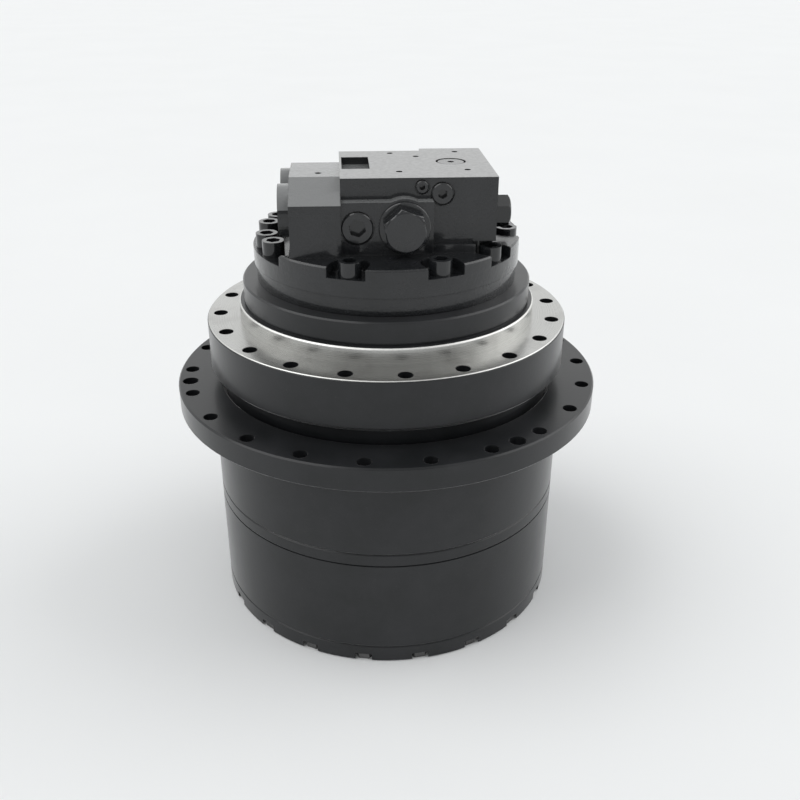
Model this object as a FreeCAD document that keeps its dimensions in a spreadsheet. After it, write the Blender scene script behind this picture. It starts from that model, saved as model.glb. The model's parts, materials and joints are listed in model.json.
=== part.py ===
import FreeCAD, Part
import math
import os
from types import SimpleNamespace
import Sketcher

# Excavator final drive: a hydraulic piston motor with a two-stage planetary reduction.
# Frame: +Z up the axis, z = 0 at the underside of the end cover, +Y towards the back of the valve block.
# The hub turns round the fixed spindle, and the sprocket is bolted to the hub's flange.

# ---------------------------------------------------------------------------------------------
# Driving sizes in millimetres (angles in degrees)
# ---------------------------------------------------------------------------------------------
SIZES = (
    # gear train
    ("gear_module", 4.0),
    ("pressure_angle", 25.0),
    ("tooth_backlash", 0.4),
    ("tooth_chamfer_gap", 3.0),
    ("planet_1_width", 22.0),
    ("planet_2_width", 36.0),
    ("washer_thick", 1.8),
    ("washer_play", 0.2),
    ("carrier_1_plate", 10.0),
    ("carrier_2_plate", 12.0),
    ("carrier_spacing", 4.0),
    ("carrier_clearance", 6.0),
    ("pin_1_r", 15.0),
    ("pin_2_r", 19.0),
    ("needle_1_thick", 5.0),
    ("needle_2_thick", 6.0),
    ("web_width", 40.0),
    ("web_inner_r", 74.0),
    ("web_outer_gap", 6.0),
    ("carrier_bolt_r", 6.0),
    ("carrier_bolt_head_r", 9.0),
    ("carrier_bolt_head_gap", 0.5),
    ("carrier_bolt_circle_r", 88.0),
    ("carrier_bolt_spread", 7.0),
    ("carrier_bolt_thread", 22.0),
    ("carrier_bolt_socket", 10.0),
    ("sun_shaft_r", 12.0),
    ("sun_spline_step", 3.0),
    ("pin_head", 3.0),
    ("pin_head_reach", 5.0),
    ("pin_inset", 0.5),
    ("washer_reach", 11.0),
    ("sun_2_bore_gap", 2.0),
    ("running_clearance", 0.05),
    # end cover and drum
    ("cover_thick", 18.0),
    ("cover_inner_gap", 6.0),
    ("cover_spigot_depth", 5.0),
    ("cover_spigot_wall", 9.0),
    ("spigot_clearance", 0.1),
    ("register_step", 3.0),
    ("register_depth", 6.0),
    ("hub_register_depth", 4.0),
    ("ring_gear_wall", 32.5),
    ("drum_bolt_offset", 21.0),
    ("drum_bolt_hole_r", 6.5),
    ("drum_bolt_r", 6.0),
    ("drum_thread_depth", 24.0),
    ("drum_bolt_flats", 18.0),
    ("drum_bolt_head", 7.5),
    ("bolt_pocket_r", 14.0),
    ("bolt_pocket_depth", 8.0),
    ("drum_bolt_phase", 7.3),
    ("seam_chamfer", 1.2),
    ("band_groove_below_seam", 12.0),
    ("band_groove_width", 1.6),
    ("band_groove_depth", 1.0),
    ("oil_plug_r", 12.0),
    ("oil_plug_depth", 12.0),
    ("oil_plug_circle_r", 100.0),
    ("oil_plug_flats", 10.0),
    ("thrust_button_r", 14.0),
    ("thrust_button_thick", 3.8),
    # hub
    ("hub_drum_len", 91.0),
    ("sprocket_pilot_step", 1.0),
    ("sprocket_pilot_len", 14.0),
    ("sprocket_flange_thick", 24.0),
    ("sprocket_flange_reach", 34.5),
    ("sprocket_bolt_edge", 12.0),
    ("sprocket_thread_r", 7.0),
    ("sprocket_dowel_r", 8.0),
    ("flange_chamfer", 1.5),
    ("labyrinth_depth", 10.0),
    ("labyrinth_gap", 4.0),
    ("labyrinth_floor_gap", 2.0),
    ("hub_entry_gap", 4.0),
    ("hub_phase", -0.5),
    # main bearings and spindle
    ("spindle_r", 111.0),
    ("bearing_section", 25.5),
    ("bearing_ring_wall", 8.5),
    ("bearing_width", 26.0),
    ("bearing_lip", 8.5),
    ("cage_gap", 0.3),
    ("cage_inset", 3.0),
    ("lower_bearing_depth", 19.0),
    ("spindle_entry", 3.0),
    ("nut_thread_step", 6.0),
    ("nut_height", 19.8),
    ("nut_reach", 13.0),
    ("nut_slot_width", 12.0),
    ("nut_slot_depth", 5.0),
    ("spindle_bore_r", 62.0),
    ("spindle_floor_thick", 5.0),
    # floating face seal
    ("seal_stack", 28.0),
    ("seal_shoulder", 14.0),
    ("seal_ring_gap", 3.0),
    ("seal_ring_wall", 9.0),
    ("seal_face_reach", 14.0),
    ("seal_face_thick", 3.0),
    ("seal_ring_height", 12.0),
    ("seal_housing_reach", 37.0),
    ("seal_cord_r", 5.4),
    ("neck_wall", 20.0),
    # frame flange
    ("flange_gap", 16.0),
    ("frame_flange_reach", 13.3),
    ("frame_flange_thick", 50.0),
    ("frame_flange_round", 4.3),
    ("frame_bolt_edge", 13.0),
    ("frame_thread_r", 7.0),
    ("frame_thread_depth", 30.0),
    ("frame_bolt_phase", 2.5),
    ("frame_land", 32.8),
    ("frame_pilot_len", 19.0),
    ("rim_step", 5.0),
    ("rim_len", 19.8),
    ("relief_groove_width", 2.5),
    ("relief_groove_depth", 1.0),
    # motor
    ("cover_spigot_r", 100.0),
    ("motor_spigot_len", 3.8),
    ("spigot_seat_depth", 8.8),
    ("brake_bore_r", 97.0),
    ("brake_bore_len", 40.0),
    ("plate_bore_r", 91.0),
    ("plate_bore_len", 38.0),
    ("motor_cavity_r", 86.0),
    ("motor_cavity_len", 57.0),
    ("shaft_bearing_r", 45.0),
    ("shaft_bearing_len", 22.0),
    ("shaft_seal_r", 36.0),
    ("shaft_seal_len", 13.0),
    ("shaft_r", 25.0),
    ("shaft_seal_journal_r", 22.0),
    ("shaft_spline_r", 20.0),
    ("shaft_tail_r", 17.5),
    ("shaft_tail_len", 25.0),
    ("shaft_nose_len", 19.5),
    ("shaft_tunnel_gap", 5.0),
    ("coupling_wall", 11.0),
    ("coupling_len", 30.0),
    ("block_r", 64.0),
    ("block_len", 78.0),
    ("valve_plate_thick", 5.0),
    ("valve_plate_r", 58.0),
    ("piston_r", 11.0),
    ("piston_circle_r", 45.0),
    ("piston_bore_len", 60.0),
    ("piston_len", 70.0),
    ("piston_neck_r", 6.0),
    ("kidney_half_width", 5.5),
    ("shoe_r", 11.0),
    ("shoe_thick", 4.0),
    ("shoe_neck_r", 8.0),
    ("shoe_height", 14.0),
    ("retainer_r", 62.0),
    ("retainer_thick", 3.5),
    ("guide_r", 27.0),
    ("swash_thick", 20.0),
    ("swash_r", 78.0),
    ("swash_to_block", 30.0),
    ("swash_floor_gap", 7.0),
    ("pivot_r", 12.0),
    ("pivot_offset", 60.0),
    ("pivot_sink", 5.0),
    ("servo_r", 12.0),
    ("servo_offset", 63.0),
    ("servo_len", 22.0),
    ("spring_chamber_r", 30.0),
    ("spring_chamber_len", 46.0),
    ("brake_disc_thick", 3.0),
    ("brake_disc_r", 84.0),
    ("brake_plate_bore_r", 68.0),
    ("brake_piston_bore_r", 70.0),
    ("brake_piston_nose", 17.5),
    ("brake_piston_len", 52.0),
    ("brake_spring_thick", 3.0),
    ("tail_bearing_r", 31.0),
    ("tail_bearing_len", 16.0),
    ("tail_bearing_gap", 7.0),
    # rear cover (valve block)
    ("rear_flange_inset", 12.5),
    ("rear_flange_thick", 43.2),
    ("rear_band_len", 17.0),
    ("rear_band_step", 2.0),
    ("rear_bolt_edge", 13.0),
    ("rear_bolt_r", 7.0),
    ("rear_bolt_hole_r", 7.5),
    ("rear_bolt_thread", 28.0),
    ("rear_bolt_head_r", 10.5),
    ("rear_bolt_head", 14.0),
    ("rear_bolt_socket", 12.0),
    ("rear_pocket_half", 18.0),
    ("rear_pocket_depth", 10.0),
    ("block_height", 67.0),
    ("block_right", 97.0),
    ("block_step_x", 36.0),
    ("block_left", 45.0),
    ("block_front", 74.0),
    ("block_back", 54.0),
    ("block_back_step", 10.0),
    ("wing_left", 91.0),
    ("wing_front", 92.0),
    ("wing_edge_drop", 20.0),
    ("wing_ridge", 53.0),
    ("wing_back", 8.0),
    ("wing_drop", 3.0),
    ("spool_face", 86.0),
    ("spool_face_drop", 19.0),
    ("spool_x", 12.0),
    ("spool_drop", 42.0),
    ("spool_boss_r", 26.0),
    ("spool_r", 13.0),
    ("spool_len", 76.0),
    ("spool_travel", 8.0),
    ("spool_cap_r", 16.0),
    ("spool_cap_depth", 14.0),
    ("spool_cap_flats", 36.0),
    ("spool_cap_head", 15.0),
    ("spool_cap_collar_r", 23.5),
    ("spool_cap_collar", 2.5),
    ("speed_spool_x", 30.5),
    ("speed_spool_r", 8.0),
    ("speed_spool_len", 90.0),
    ("speed_travel", 6.0),
    ("speed_plug_r", 15.5),
    ("speed_plug_depth", 14.0),
    ("speed_plug_flats", 12.0),
    ("foot_right", 78.0),
    ("foot_reach", 9.0),
    ("foot_height", 8.0),
    ("port_boss_r", 24.0),
    ("port_boss_reach", 10.0),
    ("port_drop", 31.5),
    ("port_front_y", 60.0),
    ("port_spacing", 64.0),
    ("port_r", 15.2),
    ("port_depth", 26.0),
    ("drain_r", 9.5),
    ("drain_depth", 18.0),
    ("drain_x", 62.0),
    ("pilot_port_r", 5.8),
    ("pilot_port_depth", 14.0),
    ("pilot_port_x", 68.0),
    ("relief_y", 25.0),
    ("relief_drop", 44.0),
    ("relief_body_r", 12.0),
    ("relief_body_depth", 40.0),
    ("relief_flats", 27.0),
    ("relief_head", 20.0),
    ("top_plug_x", 61.4),
    ("top_plug_y", 7.3),
    ("top_plug_r", 14.5),
    ("top_plug_depth", 12.0),
    ("top_plug_flats", 6.0),
    ("gauge_plug_x", 46.8),
    ("gauge_plug_drop", 14.8),
    ("gauge_plug_r", 11.0),
    ("gauge_plug_depth", 12.0),
    ("gauge_plug_flats", 8.0),
    ("bleed_plug_x", 28.3),
    ("bleed_plug_drop", 8.6),
    ("bleed_plug_r", 7.0),
    ("bleed_plug_flats", 5.0),
    ("gallery_plug_r", 3.0),
    ("gallery_plug_depth", 8.0),
    ("gallery_plug_flats", 2.5),
    ("casting_pocket_x", 30.0),
    ("casting_pocket_y", 10.0),
    ("casting_pocket_width", 26.0),
    ("casting_pocket_len", 52.0),
    ("casting_pocket_depth", 7.0),
)

# Counts, and the angles at which the rear cover's screws stand round its flange.
SUN_1_TEETH = 12
PLANET_1_TEETH = 30
PLANET_2_TEETH = 27
PLANETS = 3
RING_TEETH = SUN_1_TEETH + 2 * PLANET_1_TEETH
SUN_2_TEETH = RING_TEETH - 2 * PLANET_2_TEETH
SPROCKET_HOLES = 22
FRAME_HOLES = 20
DRUM_BOLTS = 20
DOWEL_PITCHES = (4.5, 11.5, 18.5)
REAR_BOLT_ANGLES = (-170, -157, -109, -69, -38.5, -6, 30, 69, 109, 157, 170)
PISTONS = 9
BRAKE_DISCS = 3
OIL_PLUG_ANGLES = (90, 210, 330)
NUT_SLOTS = 8

doc = FreeCAD.newDocument("final_drive")
sheet = doc.addObject("Spreadsheet::Sheet", "sizes")
for row, (alias, number) in enumerate(SIZES, start=1):
    sheet.set(f"A{row}", alias.replace("_", " "))
    sheet.set(f"B{row}", str(number))
    sheet.setAlias(f"B{row}", alias)
doc.recompute()


# ---------------------------------------------------------------------------------------------
# Sizes that know their formula
# ---------------------------------------------------------------------------------------------
def formula(size):
    return size.formula if isinstance(size, Size) else f"{float(size):.10g}"


class Size:
    """A number together with the sheet formula that gives it, so that features can be bound to it."""

    def __init__(self, number, text):
        self.number = number
        self.formula = text

    def __float__(self):
        return self.number

    def __neg__(self):
        return Size(-self.number, f"(-1 * {self.formula})")

    def __add__(self, other):
        return Size(self.number + float(other), f"({self.formula} + {formula(other)})")

    def __radd__(self, other):
        return Size(float(other) + self.number, f"({formula(other)} + {self.formula})")

    def __sub__(self, other):
        return Size(self.number - float(other), f"({self.formula} - {formula(other)})")

    def __rsub__(self, other):
        return Size(float(other) - self.number, f"({formula(other)} - {self.formula})")

    def __mul__(self, other):
        return Size(self.number * float(other), f"({self.formula} * {formula(other)})")

    __rmul__ = __mul__

    def __truediv__(self, other):
        return Size(self.number / float(other), f"({self.formula} / {formula(other)})")


d = SimpleNamespace(**{alias: Size(float(sheet.get(alias)), f"sizes.{alias}") for alias, _ in SIZES})

# ---------------------------------------------------------------------------------------------
# Sizes worked out from the driving ones: radii
# ---------------------------------------------------------------------------------------------
ADDENDUM = 1.0
DEDENDUM = 1.25
ring_tip_r = d.gear_module * (RING_TEETH / 2 - ADDENDUM)
ring_root_r = d.gear_module * (RING_TEETH / 2 + DEDENDUM)
arm_1_r = d.gear_module * ((SUN_1_TEETH + PLANET_1_TEETH) / 2)
arm_2_r = d.gear_module * ((SUN_2_TEETH + PLANET_2_TEETH) / 2)
sun_2_root_r = d.gear_module * (SUN_2_TEETH / 2 - DEDENDUM)
sun_2_tip_r = d.gear_module * (SUN_2_TEETH / 2 + ADDENDUM)
carrier_r = ring_tip_r - d.carrier_clearance
register_r = ring_root_r + d.register_step
drum_r = ring_root_r + d.ring_gear_wall
drum_bolt_circle_r = ring_root_r + d.drum_bolt_offset
sprocket_pilot_r = drum_r + d.sprocket_pilot_step
sprocket_flange_r = drum_r + d.sprocket_flange_reach
sprocket_bolt_circle_r = sprocket_flange_r - d.sprocket_bolt_edge
hub_entry_r = carrier_r + d.hub_entry_gap
hub_bearing_r = d.spindle_r + d.bearing_section
hub_lip_r = hub_bearing_r - d.bearing_lip
shoulder_r = d.spindle_r + d.seal_shoulder
seal_ring_r = shoulder_r + d.seal_ring_gap
seal_housing_r = d.spindle_r + d.seal_housing_reach
neck_r = seal_housing_r + d.neck_wall
labyrinth_r = neck_r + d.labyrinth_gap
frame_flange_r = neck_r + d.frame_flange_reach
frame_bolt_circle_r = frame_flange_r - d.frame_bolt_edge
frame_pilot_r = frame_flange_r - d.frame_land
rim_r = frame_pilot_r - d.rim_step
rear_flange_r = rim_r - d.rear_flange_inset
rear_bolt_circle_r = rear_flange_r - d.rear_bolt_edge
nut_thread_r = d.spindle_r - d.nut_thread_step

# ---------------------------------------------------------------------------------------------
# Sizes worked out from the driving ones: heights
# ---------------------------------------------------------------------------------------------
cover_top = d.cover_thick
planet_1_z = cover_top + d.cover_inner_gap
washer_1_z = planet_1_z + d.planet_1_width + d.washer_play / 2
carrier_1_z = planet_1_z + d.planet_1_width + d.washer_thick + d.washer_play
carrier_1_top = carrier_1_z + d.carrier_1_plate
carrier_2_z = carrier_1_top + d.carrier_spacing
planet_2_z = carrier_2_z + d.carrier_2_plate + d.washer_thick + d.washer_play
planet_2_top = planet_2_z + d.planet_2_width
carrier_2_upper_z = planet_2_top + d.washer_thick + d.washer_play
spindle_end = carrier_2_upper_z + d.carrier_2_plate
hub_bottom = spindle_end + d.spindle_entry
lower_bearing_z = hub_bottom + d.lower_bearing_depth
nut_z = lower_bearing_z - d.nut_height
flange_under = hub_bottom + d.hub_drum_len
flange_top = flange_under + d.sprocket_flange_thick
upper_bearing_top = flange_top - d.seal_stack
upper_bearing_z = upper_bearing_top - d.bearing_width
labyrinth_floor = flange_top - d.labyrinth_depth
seal_plane = flange_top - d.seal_stack / 2
frame_under = flange_top + d.flange_gap
frame_face = frame_under + d.frame_flange_thick
pilot_top = frame_face + d.frame_pilot_len
rim_top = pilot_top + d.rim_len
motor_top = rim_top - d.motor_spigot_len
block_top_z = motor_top - d.valve_plate_thick
block_z = block_top_z - d.block_len
swash_top = block_z - d.swash_to_block
swash_z = swash_top - d.swash_thick
cavity_floor = swash_z - d.swash_floor_gap
plate_floor = block_z
brake_floor = plate_floor + d.plate_bore_len
shaft_bearing_z = cavity_floor - d.shaft_bearing_len
shaft_seal_z = shaft_bearing_z - d.shaft_seal_len
spindle_ceiling = shaft_seal_z - d.spindle_floor_thick
shaft_nose_z = shaft_seal_z - d.shaft_nose_len
shelf = rim_top + d.rear_flange_thick
block_top = shelf + d.block_height
spool_z = block_top - d.spool_drop
pocket_floor = shelf - d.rear_pocket_depth
brake_stack = d.brake_disc_thick * (2 * BRAKE_DISCS + 1)
brake_piston_z = plate_floor + brake_stack
brake_step_z = brake_piston_z + d.brake_piston_nose
brake_piston_top = brake_piston_z + d.brake_piston_len

parts = []


# ---------------------------------------------------------------------------------------------
# Modelling helpers
# ---------------------------------------------------------------------------------------------
def new_body(label):
    body = doc.addObject("PartDesign::Body", label)
    body.Label = label
    parts.append(body)
    return body


def new_sketch(body, plane_role, height, turn=0):
    """Sketch on one of the body's origin planes, moved along its normal by height and turned about it."""
    sketch = body.newObject("Sketcher::SketchObject", "sketch")
    plane = [item for item in body.Origin.OriginFeatures if item.Role == plane_role][0]
    sketch.AttachmentSupport = [(plane, "")]
    sketch.MapMode = "FlatFace"
    spun = FreeCAD.Rotation(FreeCAD.Vector(0, 0, 1), float(turn))
    sketch.AttachmentOffset = FreeCAD.Placement(FreeCAD.Vector(0, 0, float(height)), spun)
    sketch.setExpression("AttachmentOffset.Base.z", formula(height))
    return sketch


def pin_down(sketch, geometry, point, across, up):
    """Fix one point of a sketch at a distance from the origin that stays bound to the sheet."""
    for kind, distance in (("DistanceX", across), ("DistanceY", up)):
        index = sketch.addConstraint(Sketcher.Constraint(kind, -1, 1, geometry, point, float(distance)))
        if isinstance(distance, Size):
            sketch.setExpression(f"Constraints[{index}]", distance.formula)


def outline(body, plane_role, height, corners, turn=0):
    """Closed outline of straight sides through the corners."""
    sketch = new_sketch(body, plane_role, height, turn)
    ends = [FreeCAD.Vector(float(across), float(up), 0) for across, up in corners]
    sides = [Part.LineSegment(a, b) for a, b in zip(ends, ends[1:] + ends[:1])]
    sketch.addGeometry(sides, False)
    last = len(sides) - 1
    joints = [Sketcher.Constraint("Coincident", i, 2, 0 if i == last else i + 1, 1) for i in range(last + 1)]
    sketch.addConstraint(joints)
    for index, (across, up) in enumerate(corners):
        pin_down(sketch, index, 1, across, up)
    return sketch


def circle(body, plane_role, height, across, up, radius, turn=0):
    sketch = new_sketch(body, plane_role, height, turn)
    middle = FreeCAD.Vector(float(across), float(up), 0)
    sketch.addGeometry(Part.Circle(middle, FreeCAD.Vector(0, 0, 1), float(radius)), False)
    pin_down(sketch, 0, 3, across, up)
    index = sketch.addConstraint(Sketcher.Constraint("Radius", 0, float(radius)))
    sketch.setExpression(f"Constraints[{index}]", formula(radius))
    return sketch


def rectangle(left, bottom, right, top):
    return [(left, bottom), (right, bottom), (right, top), (left, top)]


def extrude(body, kind, sketch, length, backwards=False):
    """Pad or Pocket. A pad follows the plane's normal and a pocket runs against it, unless backwards."""
    feature = body.newObject(f"PartDesign::{kind}", kind.lower())
    feature.Profile = sketch
    feature.setExpression("Length", formula(length))
    feature.Reversed = backwards
    return feature


def spin(body, kind, corners):
    """Revolution or Groove of a half section given as (radius, height) corners."""
    sketch = outline(body, "XZ_Plane", 0, corners)
    feature = body.newObject(f"PartDesign::{kind}", kind.lower())
    feature.Profile = sketch
    feature.ReferenceAxis = (sketch, ["V_Axis"])
    feature.Angle = 360
    return feature


def turned(label, corners):
    body = new_body(label)
    spin(body, "Revolution", corners)
    return body


def ring(label, inner, outer, bottom, top):
    return turned(label, rectangle(inner, bottom, outer, top))


def drill_circle(body, height, radius, circle_r, count, depth, phase, upwards=False):
    """Round holes on a circle, patterned round the axis. The phase is where the first one stands."""
    sketch = circle(body, "XY_Plane", height, circle_r, 0, radius, phase)
    pocket = extrude(body, "Pocket", sketch, depth, upwards)
    pattern = body.newObject("PartDesign::PolarPattern", "pattern")
    pattern.Originals = [pocket]
    pattern.Axis = (sketch, ["N_Axis"])
    pattern.Angle = 360
    pattern.Occurrences = count
    body.Tip = pattern


def feature(label, shape):
    """A sub-part whose shape is set directly: gears, and identical pieces that share one node."""
    item = doc.addObject("Part::Feature", label)
    item.Label = label
    item.Shape = shape
    parts.append(item)
    return item


def lathe(corners):
    """Solid of revolution about Z from (radius, height) corners."""
    points = [FreeCAD.Vector(float(radius), 0, float(height)) for radius, height in corners]
    face = Part.Face(Part.makePolygon(points + points[:1]))
    return face.revolve(FreeCAD.Vector(0, 0, 0), FreeCAD.Vector(0, 0, 1), 360)


def prism(across_flats, bottom, height, turn=0):
    """Hexagonal prism about Z. With no turn, two of its corners lie along X."""
    corner_r = float(across_flats) / math.sqrt(3)
    angles = [math.radians(60 * side + turn) for side in range(6)]
    points = [FreeCAD.Vector(corner_r * math.cos(a), corner_r * math.sin(a), float(bottom)) for a in angles]
    face = Part.Face(Part.makePolygon(points + points[:1]))
    return face.extrude(FreeCAD.Vector(0, 0, float(height)))


def turned_about_z(shape, angle):
    copy = shape.copy()
    copy.rotate(FreeCAD.Vector(0, 0, 0), FreeCAD.Vector(0, 0, 1), angle)
    return copy


def on_circle(shape, radius, angles):
    """Copies of a shape, each moved out along X and turned about Z to its angle."""
    copies = []
    for angle in angles:
        copy = shape.copy()
        copy.translate(FreeCAD.Vector(float(radius), 0, 0))
        copies.append(turned_about_z(copy, float(angle)))
    return Part.makeCompound(copies)


def even_angles(count, phase=0.0):
    return [float(phase) + 360 * index / count for index in range(count)]


def placed(shape, base, direction):
    """A shape built along +Z with its mouth at z = 0, moved so that +Z points in the given direction."""
    copy = shape.copy()
    turn = FreeCAD.Rotation(FreeCAD.Vector(0, 0, 1), FreeCAD.Vector(*direction))
    copy.Placement = FreeCAD.Placement(FreeCAD.Vector(*[float(value) for value in base]), turn)
    return copy


def socket_plug(radius, depth, flats):
    """Threaded plug, flush with its face at z = 0, with a hexagon socket."""
    body = Part.makeCylinder(float(radius), float(depth), FreeCAD.Vector(0, 0, -float(depth)))
    socket_depth = float(depth) / 2
    return body.cut(prism(flats, -socket_depth, socket_depth))


# ---------------------------------------------------------------------------------------------
# Involute gears
# ---------------------------------------------------------------------------------------------
def involute(angle):
    return math.tan(angle) - angle


def tooth_half_angle(teeth, radius, allowance):
    """Half the angle that a tooth fills at a radius. The allowance is taken off its thickness."""
    module = float(d.gear_module)
    pressure = math.radians(float(d.pressure_angle))
    pitch_r = module * teeth / 2
    base_r = pitch_r * math.cos(pressure)
    local = math.acos(min(1.0, base_r / radius))
    at_pitch = (math.pi * pitch_r / teeth - allowance) / (2 * pitch_r)
    return at_pitch + involute(pressure) - involute(local)


def gear_outline(teeth, tip_r, root_r, allowance, phase):
    """Closed outline of a spur gear with two straight chords for each flank."""
    base_r = float(d.gear_module) * teeth / 2 * math.cos(math.radians(float(d.pressure_angle)))
    low_r = max(root_r, base_r)
    radii = (low_r, (low_r + tip_r) / 2, tip_r)
    halves = [tooth_half_angle(teeth, radius, allowance) for radius in radii]
    flank = [(root_r, halves[0] + math.radians(0.4))] + list(zip(radii[0 if low_r > root_r else 1:], halves[0 if low_r > root_r else 1:]))
    points = []
    for tooth in range(teeth):
        middle = phase + 2 * math.pi * tooth / teeth
        points += [(radius, middle - half) for radius, half in flank]
        points += [(radius, middle + half) for radius, half in reversed(flank)]
    corners = [FreeCAD.Vector(radius * math.cos(a), radius * math.sin(a), 0) for radius, a in points]
    return corners + corners[:1]


def gear(teeth, width, phase):
    """External gear standing on z = 0, with a tooth centre at the phase angle (radians)."""
    module = float(d.gear_module)
    tip_r = module * (teeth / 2 + ADDENDUM)
    root_r = module * (teeth / 2 - DEDENDUM)
    points = gear_outline(teeth, tip_r, root_r, float(d.tooth_backlash) / 2, phase)
    return Part.Face(Part.makePolygon(points)).extrude(FreeCAD.Vector(0, 0, float(width)))


def ring_tooth_space():
    """The shape cut out of the ring gear: an external gear with its spaces where the ring's teeth stand."""
    points = gear_outline(RING_TEETH, float(ring_root_r), float(ring_tip_r), -float(d.tooth_backlash) / 2,
                          math.pi / RING_TEETH)
    height = float(hub_bottom)
    return Part.Face(Part.makePolygon(points)).extrude(FreeCAD.Vector(0, 0, height))


def planet_phase(angle, teeth):
    """Tooth phase of a planet at an angle round the axis, so that it meshes with the ring gear."""
    return angle * (1 - RING_TEETH / teeth) + math.pi / teeth


def planet(label, teeth, width, bore_r, arm_r, height, angle):
    blank = gear(teeth, width, planet_phase(math.radians(angle), teeth))
    shape = blank.cut(Part.makeCylinder(float(bore_r), float(width)))
    shape.translate(FreeCAD.Vector(float(arm_r), 0, float(height)))
    turn = math.radians(angle)
    offset = FreeCAD.Vector(float(arm_r) * (math.cos(turn) - 1), float(arm_r) * math.sin(turn), 0)
    shape.translate(offset)
    return feature(label, shape)


# ---------------------------------------------------------------------------------------------
# Hub: turns with the sprocket
# ---------------------------------------------------------------------------------------------
fit = d.running_clearance
spigot_r = register_r - d.spigot_clearance
chamfer = d.flange_chamfer
hub = turned("hub", [
    (hub_entry_r, hub_bottom - d.hub_register_depth),
    (spigot_r, hub_bottom - d.hub_register_depth),
    (spigot_r, hub_bottom),
    (drum_r - d.seam_chamfer, hub_bottom),
    (drum_r, hub_bottom + d.seam_chamfer),
    (drum_r, flange_under - d.sprocket_pilot_len),
    (sprocket_pilot_r, flange_under - d.sprocket_pilot_len),
    (sprocket_pilot_r, flange_under),
    (sprocket_flange_r - chamfer, flange_under),
    (sprocket_flange_r, flange_under + chamfer),
    (sprocket_flange_r, flange_top - chamfer),
    (sprocket_flange_r - chamfer, flange_top),
    (labyrinth_r + chamfer, flange_top),
    (labyrinth_r, flange_top - chamfer),
    (labyrinth_r, labyrinth_floor),
    (seal_housing_r, labyrinth_floor),
    (seal_housing_r, upper_bearing_top),
    (hub_bearing_r, upper_bearing_top),
    (hub_bearing_r, upper_bearing_z),
    (hub_lip_r, upper_bearing_z),
    (hub_lip_r, lower_bearing_z + d.bearing_width),
    (hub_bearing_r, lower_bearing_z + d.bearing_width),
    (hub_bearing_r, lower_bearing_z),
    (hub_entry_r, lower_bearing_z),
])
drill_circle(hub, flange_top, d.sprocket_thread_r, sprocket_bolt_circle_r, SPROCKET_HOLES,
             d.sprocket_flange_thick, d.hub_phase)
for pitches in DOWEL_PITCHES:
    dowel_turn = d.hub_phase + 360 * pitches / SPROCKET_HOLES
    dowel = circle(hub, "XY_Plane", flange_top, sprocket_bolt_circle_r, 0, d.sprocket_dowel_r, dowel_turn)
    extrude(hub, "Pocket", dowel, d.sprocket_flange_thick)
drill_circle(hub, hub_bottom, d.drum_bolt_r, drum_bolt_circle_r, DRUM_BOLTS, d.drum_thread_depth,
             d.drum_bolt_phase, True)

band_top = hub_bottom - d.band_groove_below_seam
ring_blank = lathe([
    (ring_root_r - d.gear_module * 2.25, planet_1_z),
    (register_r, planet_1_z),
    (register_r, cover_top),
    (drum_r - d.seam_chamfer, cover_top),
    (drum_r, cover_top + d.seam_chamfer),
    (drum_r, band_top - d.band_groove_width),
    (drum_r - d.band_groove_depth, band_top - d.band_groove_width),
    (drum_r - d.band_groove_depth, band_top),
    (drum_r, band_top),
    (drum_r, hub_bottom - d.seam_chamfer),
    (drum_r - d.seam_chamfer, hub_bottom),
    (register_r, hub_bottom),
    (register_r, hub_bottom - d.register_depth),
    (ring_root_r - d.gear_module * 2.25, hub_bottom - d.register_depth),
])
ring_hole = Part.makeCylinder(float(d.drum_bolt_hole_r), float(hub_bottom))
ring_holes = on_circle(ring_hole, drum_bolt_circle_r, even_angles(DRUM_BOLTS, d.drum_bolt_phase))
feature("ring_gear", ring_blank.cut([ring_tooth_space()] + ring_holes.Solids))

cover_ring_r = spigot_r - d.cover_spigot_wall
end_cover = turned("end_cover", [
    (0, 0),
    (drum_r - d.seam_chamfer, 0),
    (drum_r, d.seam_chamfer),
    (drum_r, cover_top - d.seam_chamfer),
    (drum_r - d.seam_chamfer, cover_top),
    (spigot_r, cover_top),
    (spigot_r, cover_top + d.cover_spigot_depth),
    (cover_ring_r, cover_top + d.cover_spigot_depth),
    (cover_ring_r, cover_top),
    (0, cover_top),
])
drill_circle(end_cover, 0, d.bolt_pocket_r, drum_bolt_circle_r, DRUM_BOLTS, d.bolt_pocket_depth,
             d.drum_bolt_phase, True)
drill_circle(end_cover, 0, d.drum_bolt_hole_r, drum_bolt_circle_r, DRUM_BOLTS, d.cover_thick,
             d.drum_bolt_phase, True)
drill_circle(end_cover, 0, d.oil_plug_r, d.oil_plug_circle_r, len(OIL_PLUG_ANGLES), d.cover_thick,
             OIL_PLUG_ANGLES[0], True)

drum_bolt_z = d.bolt_pocket_depth - d.drum_bolt_head
drum_shank = hub_bottom + d.drum_thread_depth - 4 - d.bolt_pocket_depth
drum_bolt = prism(d.drum_bolt_flats, drum_bolt_z, d.drum_bolt_head, 30).fuse(
    Part.makeCylinder(float(d.drum_bolt_r), float(drum_shank), FreeCAD.Vector(0, 0, float(d.bolt_pocket_depth))))
feature("end_cover_bolts", on_circle(drum_bolt, drum_bolt_circle_r, even_angles(DRUM_BOLTS, d.drum_bolt_phase)))

oil_plug = placed(socket_plug(d.oil_plug_r, d.oil_plug_depth, d.oil_plug_flats), (0, 0, 0), (0, 0, -1))
feature("oil_plugs", on_circle(oil_plug, d.oil_plug_circle_r, OIL_PLUG_ANGLES))

thrust_top = cover_top + d.thrust_button_thick
turned("thrust_button", rectangle(0, cover_top, d.thrust_button_r, thrust_top))

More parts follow.
